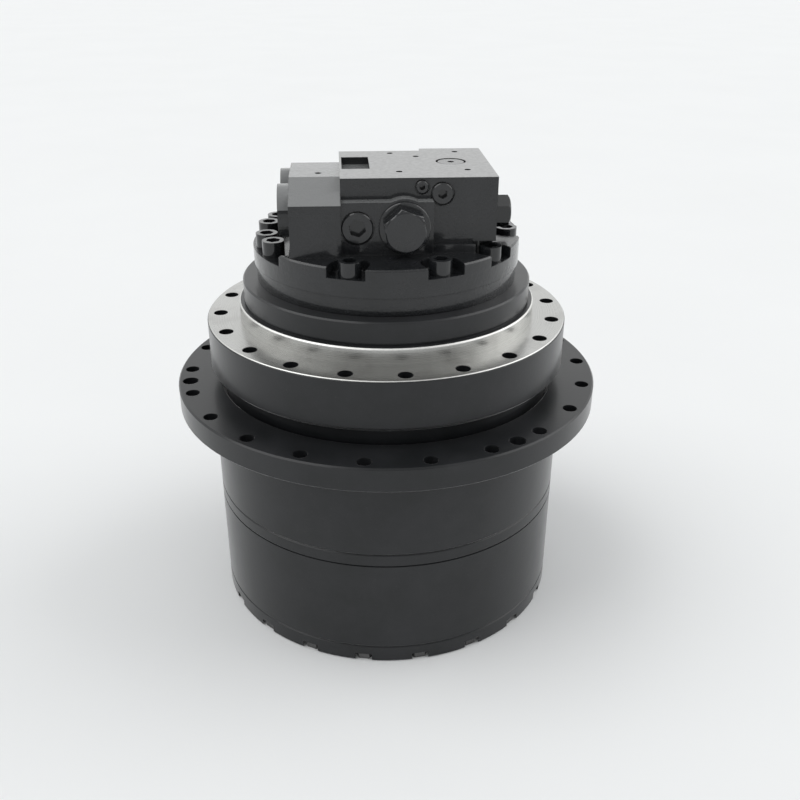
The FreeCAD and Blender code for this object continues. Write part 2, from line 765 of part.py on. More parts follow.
outer_ring_r = hub_bearing_r - d.bearing_ring_wall
outer_rings = [lathe(rectangle(outer_ring_r, z, hub_bearing_r, z + d.bearing_width))
               for z in (lower_bearing_z, upper_bearing_z)]
feature("main_bearing_outer_rings", Part.makeCompound(outer_rings))

seal_wall_r = seal_ring_r + d.seal_ring_wall
seal_face_r = seal_ring_r + d.seal_face_reach


def seal_profile(side):
    """Half section of one face-seal ring: the lower one on side -1 and the upper one on side +1."""
    face = seal_plane + side * fit / 2
    back = seal_plane + side * d.seal_ring_height
    step = seal_plane + side * d.seal_face_thick
    return [(seal_ring_r, face), (seal_face_r, face), (seal_face_r, step), (seal_wall_r, step), (seal_wall_r, back),
            (seal_ring_r, back)]


def seal_cord(label, side):
    """Rubber ring between a face-seal ring and its housing."""
    middle_r = (seal_wall_r + seal_housing_r) / 2
    middle_z = seal_plane + side * (d.seal_face_thick + d.seal_cord_r + 0.1)
    octagon = []
    for corner in range(8):
        turn = math.radians(45 * corner + 22.5)
        octagon.append((middle_r + d.seal_cord_r * math.cos(turn), middle_z + d.seal_cord_r * math.sin(turn)))
    turned(label, octagon)


turned("lower_seal_ring", seal_profile(-1))
seal_cord("lower_seal_cord", -1)

# ---------------------------------------------------------------------------------------------
# Motor casing: the fixed spindle, the frame flange and the motor's housing in one casting
# ---------------------------------------------------------------------------------------------
tunnel_r = d.shaft_r + d.shaft_tunnel_gap
groove_z = pilot_top - d.relief_groove_width
groove_r = rim_r - d.relief_groove_depth
motor_casing = turned("motor_casing", [
    (d.spindle_bore_r, spindle_end),
    (nut_thread_r, spindle_end),
    (nut_thread_r, lower_bearing_z),
    (d.spindle_r, lower_bearing_z),
    (d.spindle_r, upper_bearing_top),
    (shoulder_r, upper_bearing_top),
    (shoulder_r, flange_top),
    (seal_housing_r, flange_top),
    (seal_housing_r, labyrinth_floor + d.labyrinth_floor_gap),
    (neck_r, labyrinth_floor + d.labyrinth_floor_gap),
    (neck_r, frame_under),
    (frame_flange_r - d.frame_flange_round, frame_under),
    (frame_flange_r, frame_under + d.frame_flange_round),
    (frame_flange_r, frame_face - chamfer),
    (frame_flange_r - chamfer, frame_face),
    (frame_pilot_r, frame_face),
    (frame_pilot_r, groove_z - chamfer),
    (frame_pilot_r - chamfer, groove_z),
    (groove_r, groove_z),
    (groove_r, pilot_top),
    (rim_r, pilot_top),
    (rim_r, rim_top - chamfer),
    (rim_r - chamfer, rim_top),
    (d.cover_spigot_r, rim_top),
    (d.cover_spigot_r, rim_top - d.spigot_seat_depth),
    (d.brake_bore_r, rim_top - d.spigot_seat_depth),
    (d.brake_bore_r, brake_floor),
    (d.plate_bore_r, brake_floor),
    (d.plate_bore_r, plate_floor),
    (d.motor_cavity_r, plate_floor),
    (d.motor_cavity_r, cavity_floor),
    (d.shaft_bearing_r, cavity_floor),
    (d.shaft_bearing_r, shaft_bearing_z),
    (d.shaft_seal_r, shaft_bearing_z),
    (d.shaft_seal_r, shaft_seal_z),
    (tunnel_r, shaft_seal_z),
    (tunnel_r, spindle_ceiling),
    (d.spindle_bore_r, spindle_ceiling),
])
drill_circle(motor_casing, frame_face, d.frame_thread_r, frame_bolt_circle_r, FRAME_HOLES,
             d.frame_thread_depth, d.frame_bolt_phase)
for angle in REAR_BOLT_ANGLES:
    tapped = circle(motor_casing, "XY_Plane", rim_top, rear_bolt_circle_r, 0, d.rear_bolt_r, angle)
    extrude(motor_casing, "Pocket", tapped, d.rear_bolt_thread)
servo_bore_depth = d.servo_len - d.swash_floor_gap + 1
drill_circle(motor_casing, cavity_floor, d.servo_r + fit, d.servo_offset, 2, servo_bore_depth, 0)
drill_circle(motor_casing, spindle_end, d.carrier_bolt_r, d.carrier_bolt_circle_r, 3, d.carrier_bolt_thread,
             60 - d.carrier_bolt_spread, True)
drill_circle(motor_casing, spindle_end, d.carrier_bolt_r, d.carrier_bolt_circle_r, 3, d.carrier_bolt_thread,
             60 + d.carrier_bolt_spread, True)

inner_ring_r = d.spindle_r + d.bearing_ring_wall
inner_rings = [lathe(rectangle(d.spindle_r, z, inner_ring_r, z + d.bearing_width))
               for z in (lower_bearing_z, upper_bearing_z)]
feature("main_bearing_inner_rings", Part.makeCompound(inner_rings))
cages = [lathe(rectangle(inner_ring_r + d.cage_gap, z + d.cage_inset,
                         outer_ring_r - d.cage_gap, z + d.bearing_width - d.cage_inset))
         for z in (lower_bearing_z, upper_bearing_z)]
feature("main_bearing_cages", Part.makeCompound(cages))

bearing_nut = ring("bearing_nut", nut_thread_r, d.spindle_r + d.nut_reach, nut_z, lower_bearing_z)
nut_slot_r = d.spindle_r + d.nut_reach - d.nut_slot_depth
slot = outline(bearing_nut, "XY_Plane", nut_z, rectangle(
    nut_slot_r, -d.nut_slot_width / 2, nut_slot_r + 2 * d.nut_slot_depth, d.nut_slot_width / 2))
slot_cut = extrude(bearing_nut, "Pocket", slot, d.nut_height, True)
slot_turn = bearing_nut.newObject("PartDesign::PolarPattern", "pattern")
slot_turn.Originals = [slot_cut]
slot_turn.Axis = (slot, ["N_Axis"])
slot_turn.Angle = 360
slot_turn.Occurrences = NUT_SLOTS
bearing_nut.Tip = slot_turn

turned("upper_seal_ring", seal_profile(1))
seal_cord("upper_seal_cord", 1)

# Second-stage carrier, bolted to the end of the spindle.
carrier_hole_r = sun_2_tip_r + d.sun_2_bore_gap
carrier_2 = ring("carrier_2", carrier_hole_r, carrier_r, carrier_2_z, carrier_2_z + d.carrier_2_plate)
upper_plate = outline(carrier_2, "XZ_Plane", 0, rectangle(carrier_hole_r, carrier_2_upper_z, carrier_r, spindle_end))
web_len = carrier_2_upper_z - carrier_2_z - d.carrier_2_plate
web_outer_r = carrier_r - d.web_outer_gap
web = outline(carrier_2, "XY_Plane", carrier_2_z + d.carrier_2_plate, rectangle(
    d.web_inner_r, -d.web_width / 2, web_outer_r, d.web_width / 2), 60)
web_pad = extrude(carrier_2, "Pad", web, web_len)
web_turn = carrier_2.newObject("PartDesign::PolarPattern", "pattern")
web_turn.Originals = [web_pad]
web_turn.Axis = (web, ["N_Axis"])
web_turn.Angle = 360
web_turn.Occurrences = PLANETS
upper = carrier_2.newObject("PartDesign::Revolution", "revolution")
upper.Profile = upper_plate
upper.ReferenceAxis = (upper_plate, ["V_Axis"])
upper.Angle = 360
carrier_2.Tip = upper
carrier_2_depth = spindle_end - carrier_2_z
for spread in (-d.carrier_bolt_spread, d.carrier_bolt_spread):
    drill_circle(carrier_2, carrier_2_z, d.carrier_bolt_r, d.carrier_bolt_circle_r, PLANETS, carrier_2_depth,
                 60 + spread, True)
    drill_circle(carrier_2, carrier_2_z, d.carrier_bolt_head_r + d.carrier_bolt_head_gap,
                 d.carrier_bolt_circle_r, PLANETS, d.carrier_2_plate, 60 + spread, True)
drill_circle(carrier_2, carrier_2_z, d.pin_2_r, arm_2_r, PLANETS, carrier_2_depth, 0, True)

bolt_socket = prism(d.carrier_bolt_socket, 0, d.carrier_2_plate / 2)
carrier_bolt = Part.makeCylinder(float(d.carrier_bolt_head_r), float(d.carrier_2_plate)).cut(bolt_socket).fuse(
    Part.makeCylinder(float(d.carrier_bolt_r), float(carrier_2_depth + d.carrier_bolt_thread - 2)))
carrier_bolt = carrier_bolt.cut(bolt_socket)
carrier_bolt.translate(FreeCAD.Vector(0, 0, float(carrier_2_z)))
bolt_angles = [60 + side * float(d.carrier_bolt_spread) + 120 * web for web in range(PLANETS) for side in (-1, 1)]
feature("carrier_2_bolts", on_circle(carrier_bolt, d.carrier_bolt_circle_r, bolt_angles))

planet_angles = even_angles(PLANETS)
pin_2 = lathe(rectangle(0, carrier_2_z + d.pin_inset, d.pin_2_r, spindle_end - d.pin_inset))
feature("planet_2_pins", on_circle(pin_2, arm_2_r, planet_angles))
planet_2_bore_r = d.pin_2_r + d.needle_2_thick
needle_2 = lathe(rectangle(d.pin_2_r + fit, planet_2_z + 1, planet_2_bore_r - fit, planet_2_top - 1))
feature("planet_2_needle_cages", on_circle(needle_2, arm_2_r, planet_angles))
washer_2_zs = (carrier_2_z + d.carrier_2_plate + d.washer_play / 2, planet_2_top + d.washer_play / 2)
washers_2 = [on_circle(lathe(rectangle(d.pin_2_r + fit, z, d.pin_2_r + d.washer_reach, z + d.washer_thick)),
                       arm_2_r, planet_angles) for z in washer_2_zs]
feature("planet_2_washers", Part.makeCompound([solid for group in washers_2 for solid in group.Solids]))

# Swash plate with its pivots and stroking pistons. It is drawn square to the shaft.
swash_plate = ring("swash_plate", tunnel_r, d.swash_r, swash_z, swash_top)
drill_circle(swash_plate, swash_z, d.pivot_r, d.pivot_offset, 2, d.pivot_sink, 90, True)
pivot = lathe(rectangle(0, cavity_floor, d.pivot_r, swash_z + d.pivot_sink))
feature("swash_pivots", on_circle(pivot, d.pivot_offset, even_angles(2, 90)))
servo = lathe(rectangle(0, swash_z - d.servo_len, d.servo_r, swash_z))
feature("servo_pistons", on_circle(servo, d.servo_offset, even_angles(2)))

valve_plate = ring("valve_plate", d.shaft_r - 1, d.valve_plate_r, block_top_z, motor_top)
kidney = outline(valve_plate, "XZ_Plane", 0, rectangle(
    d.piston_circle_r - d.kidney_half_width, block_top_z, d.piston_circle_r + d.kidney_half_width, motor_top))
kidney_cut = valve_plate.newObject("PartDesign::Groove", "groove")
kidney_cut.Profile = kidney
kidney_cut.ReferenceAxis = (kidney, ["V_Axis"])
kidney_cut.Angle = 120
kidney_cut.Midplane = True
kidney_turn = valve_plate.newObject("PartDesign::PolarPattern", "pattern")
kidney_turn.Originals = [kidney_cut]
kidney_turn.Axis = (kidney, ["V_Axis"])
kidney_turn.Angle = 360
kidney_turn.Occurrences = 2
valve_plate.Tip = kidney_turn

plate_pitch = 2 * d.brake_disc_thick
separators = [lathe(rectangle(d.brake_plate_bore_r, plate_floor + index * plate_pitch,
                              d.plate_bore_r, plate_floor + index * plate_pitch + d.brake_disc_thick))
              for index in range(BRAKE_DISCS + 1)]
feature("brake_separator_plates", Part.makeCompound(separators))
turned("brake_piston", [
    (d.brake_piston_bore_r, brake_piston_z),
    (d.plate_bore_r - fit, brake_piston_z),
    (d.plate_bore_r - fit, brake_step_z),
    (d.brake_bore_r - fit, brake_step_z),
    (d.brake_bore_r - fit, brake_piston_top),
    (d.brake_piston_bore_r, brake_piston_top),
])
spring_inner_r = d.brake_piston_bore_r + 4
spring_outer_r = d.brake_bore_r - 2
turned("brake_disc_spring", [
    (spring_inner_r, brake_piston_top),
    (spring_outer_r, motor_top - d.brake_spring_thick),
    (spring_outer_r, motor_top),
    (spring_inner_r, brake_piston_top + d.brake_spring_thick),
])
ring("shaft_seal", d.shaft_seal_journal_r + fit, d.shaft_seal_r, shaft_seal_z + 1, shaft_bearing_z - 1)
front_outer_r = d.shaft_bearing_r - 7
ring("front_bearing_outer_ring", front_outer_r, d.shaft_bearing_r, shaft_bearing_z, cavity_floor)
tail_z = motor_top + d.tail_bearing_gap
tail_top = tail_z + d.tail_bearing_len
rear_outer_r = d.tail_bearing_r - 5
ring("rear_bearing_outer_ring", rear_outer_r, d.tail_bearing_r, tail_z, tail_top)

# ---------------------------------------------------------------------------------------------
# Rear cover: round flange with the valve block cast on it
# ---------------------------------------------------------------------------------------------
cover_bore_top = motor_top + d.shaft_tail_len + 1
band_r = rear_flange_r - d.rear_band_step
band_z = rim_top + d.rear_band_len
rear_cover = turned("rear_cover", [
    (0, cover_bore_top),
    (d.tail_bearing_r, cover_bore_top),
    (d.tail_bearing_r, motor_top),
    (d.cover_spigot_r - fit, motor_top),
    (d.cover_spigot_r - fit, rim_top),
    (band_r, rim_top),
    (band_r, band_z),
    (rear_flange_r, band_z),
    (rear_flange_r, shelf - chamfer),
    (rear_flange_r - chamfer, shelf),
    (0, shelf),
])
back_edge = d.block_back - d.block_back_step
left_of_pocket = -(d.wing_left + 2)
flange_cut = outline(rear_cover, "XY_Plane", shelf, rectangle(
    -(rear_flange_r + 9), -(d.wing_front - 10), left_of_pocket, d.wing_front - 10))
extrude(rear_cover, "Pocket", flange_cut, d.rear_pocket_depth)
right_block = outline(rear_cover, "XY_Plane", shelf, rectangle(
    d.block_step_x, -d.block_front, d.block_right, d.block_back))
extrude(rear_cover, "Pad", right_block, d.block_height)
middle_block = outline(rear_cover, "XY_Plane", shelf, rectangle(
    -d.block_left, -d.block_front, d.block_step_x, back_edge))
extrude(rear_cover, "Pad", middle_block, d.block_height)
wing = outline(rear_cover, "YZ_Plane", -d.wing_left, [
    (-d.wing_front, shelf),
    (back_edge, shelf),
    (back_edge, block_top - d.wing_edge_drop),
    (d.wing_back, block_top - d.wing_drop),
    (-d.wing_ridge, block_top - d.wing_drop),
    (-d.wing_front, block_top - d.wing_edge_drop),
])
extrude(rear_cover, "Pad", wing, d.wing_left - d.block_left)
# The XZ plane's normal points to -Y, so a height on it is a distance towards the front.
boss = outline(rear_cover, "XZ_Plane", d.block_front, rectangle(
    -d.block_left, shelf, d.spool_x + d.spool_boss_r, block_top - d.spool_face_drop))
extrude(rear_cover, "Pad", boss, d.spool_face - d.block_front)
arch = circle(rear_cover, "XZ_Plane", d.block_front, d.spool_x, spool_z, d.spool_boss_r)
extrude(rear_cover, "Pad", arch, d.spool_face - d.block_front)
foot = outline(rear_cover, "XY_Plane", shelf, rectangle(
    d.block_step_x, -(d.block_front + d.foot_reach), d.foot_right, -d.block_front))
extrude(rear_cover, "Pad", foot, d.foot_height)
port_face = d.wing_left + d.port_boss_reach
port_z = block_top - d.port_drop
port_ys = (-d.port_front_y, -d.port_front_y + d.port_spacing)
for port_y in port_ys:
    port_boss = circle(rear_cover, "YZ_Plane", -port_face, port_y, port_z, d.port_boss_r)
    extrude(rear_cover, "Pad", port_boss, d.port_boss_reach)
for angle in REAR_BOLT_ANGLES:
    # Round-ended pocket that opens outwards, cut down to the screw's seat.
    seat = circle(rear_cover, "XY_Plane", shelf + d.foot_height, rear_bolt_circle_r, 0, d.rear_pocket_half, angle)
    extrude(rear_cover, "Pocket", seat, d.rear_pocket_depth + d.foot_height)
    mouth = outline(rear_cover, "XY_Plane", shelf, rectangle(
        rear_bolt_circle_r, -d.rear_pocket_half, rear_flange_r + 9, d.rear_pocket_half), angle)
    extrude(rear_cover, "Pocket", mouth, d.rear_pocket_depth)
    through = circle(rear_cover, "XY_Plane", pocket_floor, rear_bolt_circle_r, 0, d.rear_bolt_hole_r, angle)
    extrude(rear_cover, "Pocket", through, pocket_floor - rim_top)
casting_pocket = outline(rear_cover, "XY_Plane", block_top, rectangle(
    -(d.casting_pocket_x + d.casting_pocket_width / 2), -(d.casting_pocket_y + d.casting_pocket_len / 2),
    -(d.casting_pocket_x - d.casting_pocket_width / 2), -(d.casting_pocket_y - d.casting_pocket_len / 2)))
extrude(rear_cover, "Pocket", casting_pocket, d.casting_pocket_depth)
for bore_x, bore_r, mouth_r, mouth_depth in (
        (d.spool_x, d.spool_r, d.spool_cap_r, d.spool_cap_depth),
        (-d.speed_spool_x, d.speed_spool_r, d.speed_plug_r, d.speed_plug_depth)):
    bore = circle(rear_cover, "XZ_Plane", d.spool_face, bore_x, spool_z, bore_r)
    extrude(rear_cover, "Pocket", bore, d.spool_face + back_edge)
    front_mouth = circle(rear_cover, "XZ_Plane", d.spool_face, bore_x, spool_z, mouth_r)
    extrude(rear_cover, "Pocket", front_mouth, mouth_depth)
    back_mouth = circle(rear_cover, "XZ_Plane", -back_edge, bore_x, spool_z, mouth_r)
    extrude(rear_cover, "Pocket", back_mouth, mouth_depth, True)
for port_y in port_ys:
    port = circle(rear_cover, "YZ_Plane", -port_face, port_y, port_z, d.port_r)
    extrude(rear_cover, "Pocket", port, d.port_depth, True)
drain = circle(rear_cover, "XZ_Plane", -d.block_back, d.drain_x, spool_z, d.drain_r)
extrude(rear_cover, "Pocket", drain, d.drain_depth, True)
pilot = circle(rear_cover, "XZ_Plane", -back_edge, -d.pilot_port_x, spool_z, d.pilot_port_r)
extrude(rear_cover, "Pocket", pilot, d.pilot_port_depth, True)
relief_z = block_top - d.relief_drop
relief = circle(rear_cover, "YZ_Plane", d.block_right, -d.relief_y, relief_z, d.relief_body_r)
extrude(rear_cover, "Pocket", relief, d.relief_body_depth)
top_plug = circle(rear_cover, "XY_Plane", block_top, d.top_plug_x, -d.top_plug_y, d.top_plug_r)
extrude(rear_cover, "Pocket", top_plug, d.top_plug_depth)
gauge_z = block_top - d.gauge_plug_drop
bleed_z = block_top - d.bleed_plug_drop
for plug_x, plug_z, plug_r in ((d.gauge_plug_x, gauge_z, d.gauge_plug_r), (d.bleed_plug_x, bleed_z, d.bleed_plug_r)):
    plug_hole = circle(rear_cover, "XZ_Plane", d.block_front, plug_x, plug_z, plug_r)
    extrude(rear_cover, "Pocket", plug_hole, d.gauge_plug_depth)
GALLERY_PLUGS = ((5.4, 32.9), (29.8, 16.8), (9.3, -48.8), (70.5, 37.3), (72.7, -44.0), (-64.7, -38.1))
for plug_x, plug_y in GALLERY_PLUGS:
    gallery = circle(rear_cover, "XY_Plane", block_top, plug_x, plug_y, d.gallery_plug_r)
    extrude(rear_cover, "Pocket", gallery, d.gallery_plug_depth)

head = Part.makeCylinder(float(d.rear_bolt_head_r), float(d.rear_bolt_head))
shank_len = float(pocket_floor - rim_top + d.rear_bolt_thread - 2)
shank = Part.makeCylinder(float(d.rear_bolt_r), shank_len, FreeCAD.Vector(0, 0, -shank_len))
key_depth = d.rear_bolt_head / 2
rear_bolt = head.cut(prism(d.rear_bolt_socket, d.rear_bolt_head - key_depth, key_depth)).fuse(shank)
rear_bolt.translate(FreeCAD.Vector(0, 0, float(pocket_floor)))
feature("rear_cover_screws", on_circle(rear_bolt, rear_bolt_circle_r, REAR_BOLT_ANGLES))

cap_head = prism(d.spool_cap_flats, d.spool_cap_collar, d.spool_cap_head, 30)
cap_collar = Part.makeCylinder(float(d.spool_cap_collar_r), float(d.spool_cap_collar))
cap_thread = Part.makeCylinder(float(d.spool_cap_r), float(d.spool_cap_depth),
                               FreeCAD.Vector(0, 0, -float(d.spool_cap_depth)))
spool_cap = cap_head.fuse([cap_collar, cap_thread])
feature("spool_end_caps", Part.makeCompound([
    placed(spool_cap, (d.spool_x, -d.spool_face, spool_z), (0, -1, 0)),
    placed(spool_cap, (d.spool_x, back_edge, spool_z), (0, 1, 0)),
]))
speed_plug = socket_plug(d.speed_plug_r, d.speed_plug_depth, d.speed_plug_flats)
gallery_plug = socket_plug(d.gallery_plug_r, d.gallery_plug_depth, d.gallery_plug_flats)
cover_plugs = [
    placed(speed_plug, (-d.speed_spool_x, -d.spool_face, spool_z), (0, -1, 0)),
    placed(speed_plug, (-d.speed_spool_x, back_edge, spool_z), (0, 1, 0)),
    placed(socket_plug(d.top_plug_r, d.top_plug_depth, d.top_plug_flats),
           (d.top_plug_x, -d.top_plug_y, block_top), (0, 0, 1)),
    placed(socket_plug(d.gauge_plug_r, d.gauge_plug_depth, d.gauge_plug_flats),
           (d.gauge_plug_x, -d.block_front, gauge_z), (0, -1, 0)),
    placed(socket_plug(d.bleed_plug_r, d.gauge_plug_depth, d.bleed_plug_flats),
           (d.bleed_plug_x, -d.block_front, bleed_z), (0, -1, 0)),
]
cover_plugs += [placed(gallery_plug, (plug_x, plug_y, block_top), (0, 0, 1)) for plug_x, plug_y in GALLERY_PLUGS]
feature("cover_plugs", Part.makeCompound(cover_plugs))
relief_head = prism(d.relief_flats, 0, d.relief_head)
relief_body = Part.makeCylinder(float(d.relief_body_r), float(d.relief_body_depth),
                                FreeCAD.Vector(0, 0, -float(d.relief_body_depth)))
feature("relief_valve", placed(relief_head.fuse(relief_body), (d.block_right, -d.relief_y, relief_z), (1, 0, 0)))

# Spools. Each runs along Y, is built along Z and then laid down.
def spool(label, radius, length, middle_y, bore_x, land):
    waist = radius * 0.62
    core = lathe([
        (0, 0), (radius, 0), (radius, land), (waist, land), (waist, length - land), (radius, length - land),
        (radius, length), (0, length)])
    feature(label, placed(core, (bore_x, middle_y + length / 2, spool_z), (0, -1, 0)))


spool("counterbalance_spool", d.spool_r - fit, d.spool_len, -(d.spool_face - back_edge) / 2, d.spool_x, 24)
spool("two_speed_spool", d.speed_spool_r - fit, d.speed_spool_len,
      -(d.spool_face - back_edge) / 2 - d.speed_travel / 2, -d.speed_spool_x, 30)

# ---------------------------------------------------------------------------------------------
# Rotor: everything that turns with the motor shaft
# ---------------------------------------------------------------------------------------------
journal_top = shaft_seal_z + d.shaft_seal_len
turned("motor_shaft", [
    (0, shaft_nose_z),
    (d.sun_shaft_r, shaft_nose_z),
    (d.sun_shaft_r, shaft_seal_z - 2),
    (d.shaft_seal_journal_r, shaft_seal_z - 2),
    (d.shaft_seal_journal_r, journal_top),
    (d.shaft_r, journal_top),
    (d.shaft_r, swash_top + 1),
    (d.shaft_spline_r, swash_top + 1),
    (d.shaft_spline_r, motor_top),
    (d.shaft_tail_r, motor_top),
    (d.shaft_tail_r, motor_top + d.shaft_tail_len),
    (0, motor_top + d.shaft_tail_len),
])
coupling_top = shaft_seal_z - 3
ring("shaft_coupling", d.sun_shaft_r, d.sun_shaft_r + d.coupling_wall, coupling_top - d.coupling_len, coupling_top)
sun_1_z = thrust_top + d.washer_play
sun_1_shaft = Part.makeCylinder(float(d.sun_shaft_r), float(shaft_nose_z - 1 - sun_1_z))
sun_1 = gear(SUN_1_TEETH, planet_1_z + d.planet_1_width - sun_1_z,
             0 if PLANET_1_TEETH % 2 == 0 else math.pi / SUN_1_TEETH).fuse(sun_1_shaft)
sun_1.translate(FreeCAD.Vector(0, 0, float(sun_1_z)))
feature("sun_gear_1", sun_1)

chamber_top = block_z + d.spring_chamber_len
cylinder_block = turned("cylinder_block", [
    (d.spring_chamber_r, block_z),
    (d.block_r, block_z),
    (d.block_r, block_top_z - fit),
    (d.shaft_spline_r, block_top_z - fit),
    (d.shaft_spline_r, chamber_top),
    (d.spring_chamber_r, chamber_top),
])
drill_circle(cylinder_block, block_z, d.piston_r, d.piston_circle_r, PISTONS, d.piston_bore_len, 0, True)
drill_circle(cylinder_block, block_z, d.kidney_half_width - 0.5, d.piston_circle_r, PISTONS, d.block_len, 0, True)
shoe_z = swash_top + fit
shoe_top = shoe_z + d.shoe_height
piston = lathe([
    (0, shoe_top), (d.piston_neck_r, shoe_top), (d.piston_neck_r, shoe_top + 8),
    (d.piston_r - fit, shoe_top + 8), (d.piston_r - fit, shoe_top + d.piston_len), (0, shoe_top + d.piston_len)])
feature("pistons", on_circle(piston, d.piston_circle_r, even_angles(PISTONS)))
shoe = lathe([
    (0, shoe_z), (d.shoe_r, shoe_z), (d.shoe_r, shoe_z + d.shoe_thick), (d.shoe_neck_r, shoe_z + d.shoe_thick),
    (d.shoe_neck_r, shoe_top), (0, shoe_top)])
feature("piston_shoes", on_circle(shoe, d.piston_circle_r, even_angles(PISTONS)))
retainer_z = shoe_z + d.shoe_thick
retainer = ring("shoe_retainer_plate", d.guide_r, d.retainer_r, retainer_z, retainer_z + d.retainer_thick)
drill_circle(retainer, retainer_z, d.shoe_neck_r + 0.5, d.piston_circle_r, PISTONS, d.retainer_thick, 0, True)
guide_top = shoe_top + 4
ring("retainer_guide", d.shaft_spline_r, d.guide_r, retainer_z, guide_top)


def coil(inner_r, outer_r, bottom, top, turns, steps):
    """Compression spring of square wire with flat-ended coils, made of plane facets."""
    wire = float(outer_r - inner_r)
    rise = float(top) - float(bottom) - wire
    stations = []
    for index in range(turns * steps + 1):
        turn = 2 * math.pi * index / steps
        z = float(bottom) + rise * index / (turns * steps)
        corners = ((inner_r, z), (outer_r, z), (outer_r, z + wire), (inner_r, z + wire))
        stations.append([FreeCAD.Vector(float(r) * math.cos(turn), float(r) * math.sin(turn), h) for r, h in corners])
    triangles = [(stations[0][0], stations[0][1], stations[0][2]), (stations[0][0], stations[0][2], stations[0][3])]
    for low, high in zip(stations, stations[1:]):
        for side in range(4):
            after = (side + 1) % 4
            triangles.append((low[side], high[side], high[after]))
            triangles.append((low[side], high[after], low[after]))
    last = stations[-1]
    triangles += [(last[0], last[2], last[1]), (last[0], last[3], last[2])]
    faces = [Part.Face(Part.makePolygon(list(corners) + [corners[0]])) for corners in triangles]
    solid = Part.makeSolid(Part.Shell(faces))
    if solid.Volume < 0:
        solid.reverse()
    return solid


feature("block_spring", coil(d.shaft_spline_r + 2, d.guide_r, guide_top, chamber_top, 5, 12))
disc_gap = 0.1
discs = [lathe(rectangle(d.block_r, plate_floor + d.brake_disc_thick + index * plate_pitch + disc_gap,
                         d.brake_disc_r, plate_floor + plate_pitch * (index + 1) - disc_gap))
         for index in range(BRAKE_DISCS)]
feature("friction_discs", Part.makeCompound(discs))
front_inner_r = d.shaft_r + 7
feature("front_bearing_rollers", Part.makeCompound([
    lathe(rectangle(d.shaft_r, journal_top, front_inner_r, cavity_floor - 1)),
    lathe(rectangle(front_inner_r + fit, journal_top + 3, front_outer_r - fit, cavity_floor - 4)),
]))
rear_inner_r = d.shaft_tail_r + 4.5
feature("rear_bearing_rollers", Part.makeCompound([
    lathe(rectangle(d.shaft_tail_r, tail_z, rear_inner_r, tail_top)),
    lathe(rectangle(rear_inner_r + fit, tail_z + 2, rear_outer_r - fit, tail_top - 2)),
]))

# ---------------------------------------------------------------------------------------------
# First-stage carrier, with the second-stage sun gear splined into it
# ---------------------------------------------------------------------------------------------
spline_end_r = sun_2_root_r - d.sun_spline_step
carrier_1 = ring("carrier_1", spline_end_r, carrier_r, carrier_1_z, carrier_1_top)
drill_circle(carrier_1, carrier_1_z, d.pin_1_r, arm_1_r, PLANETS, d.carrier_1_plate, 0, True)
pin_1_z = planet_1_z - d.pin_inset - d.pin_head
pin_1 = lathe([
    (0, pin_1_z), (d.pin_1_r + d.pin_head_reach, pin_1_z), (d.pin_1_r + d.pin_head_reach, pin_1_z + d.pin_head),
    (d.pin_1_r, pin_1_z + d.pin_head), (d.pin_1_r, carrier_1_top), (0, carrier_1_top)])
feature("planet_1_pins", on_circle(pin_1, arm_1_r, planet_angles))
planet_1_bore_r = d.pin_1_r + d.needle_1_thick
needle_1 = lathe(rectangle(d.pin_1_r + fit, planet_1_z + 1, planet_1_bore_r - fit,
                           planet_1_z + d.planet_1_width - 1))
feature("planet_1_needle_cages", on_circle(needle_1, arm_1_r, planet_angles))
washer_1 = lathe(rectangle(d.pin_1_r + fit, washer_1_z, d.pin_1_r + d.washer_reach, washer_1_z + d.washer_thick))
feature("planet_1_washers", on_circle(washer_1, arm_1_r, planet_angles))
sun_2_bore_r = d.sun_shaft_r + d.sun_2_bore_gap
sun_2_phase = 0 if PLANET_2_TEETH % 2 == 0 else math.pi / SUN_2_TEETH
sun_2_teeth = gear(SUN_2_TEETH, d.planet_2_width, sun_2_phase)
sun_2_teeth.translate(FreeCAD.Vector(0, 0, float(planet_2_z)))
sun_2_body = lathe([
    (sun_2_bore_r, carrier_1_z), (spline_end_r, carrier_1_z), (spline_end_r, carrier_1_top),
    (sun_2_root_r, carrier_1_top), (sun_2_root_r, planet_2_z), (sun_2_bore_r, planet_2_z)])
sun_2_bore = Part.makeCylinder(float(sun_2_bore_r), float(spindle_end))
feature("sun_gear_2", sun_2_teeth.fuse(sun_2_body).cut(sun_2_bore))

for letter, angle in zip("abc", planet_angles):
    planet(f"planet_1_{letter}", PLANET_1_TEETH, d.planet_1_width, planet_1_bore_r, arm_1_r, planet_1_z, angle)
    planet(f"planet_2_{letter}", PLANET_2_TEETH, d.planet_2_width, planet_2_bore_r, arm_2_r, planet_2_z, angle)

# ---------------------------------------------------------------------------------------------
# Export, with a check on every sub-part
# ---------------------------------------------------------------------------------------------
doc.recompute()
for item in doc.Objects:
    if "Invalid" in item.State or "Error" in item.State:
        raise RuntimeError(f"{item.Name} did not build: {item.State}")
os.makedirs("parts", exist_ok=True)
for item in parts:
    if not item.Shape.isValid() or not item.Shape.Solids:
        raise RuntimeError(f"{item.Label} is not a valid solid")
    item.Shape.exportStep(f"parts/{item.Label}.step")
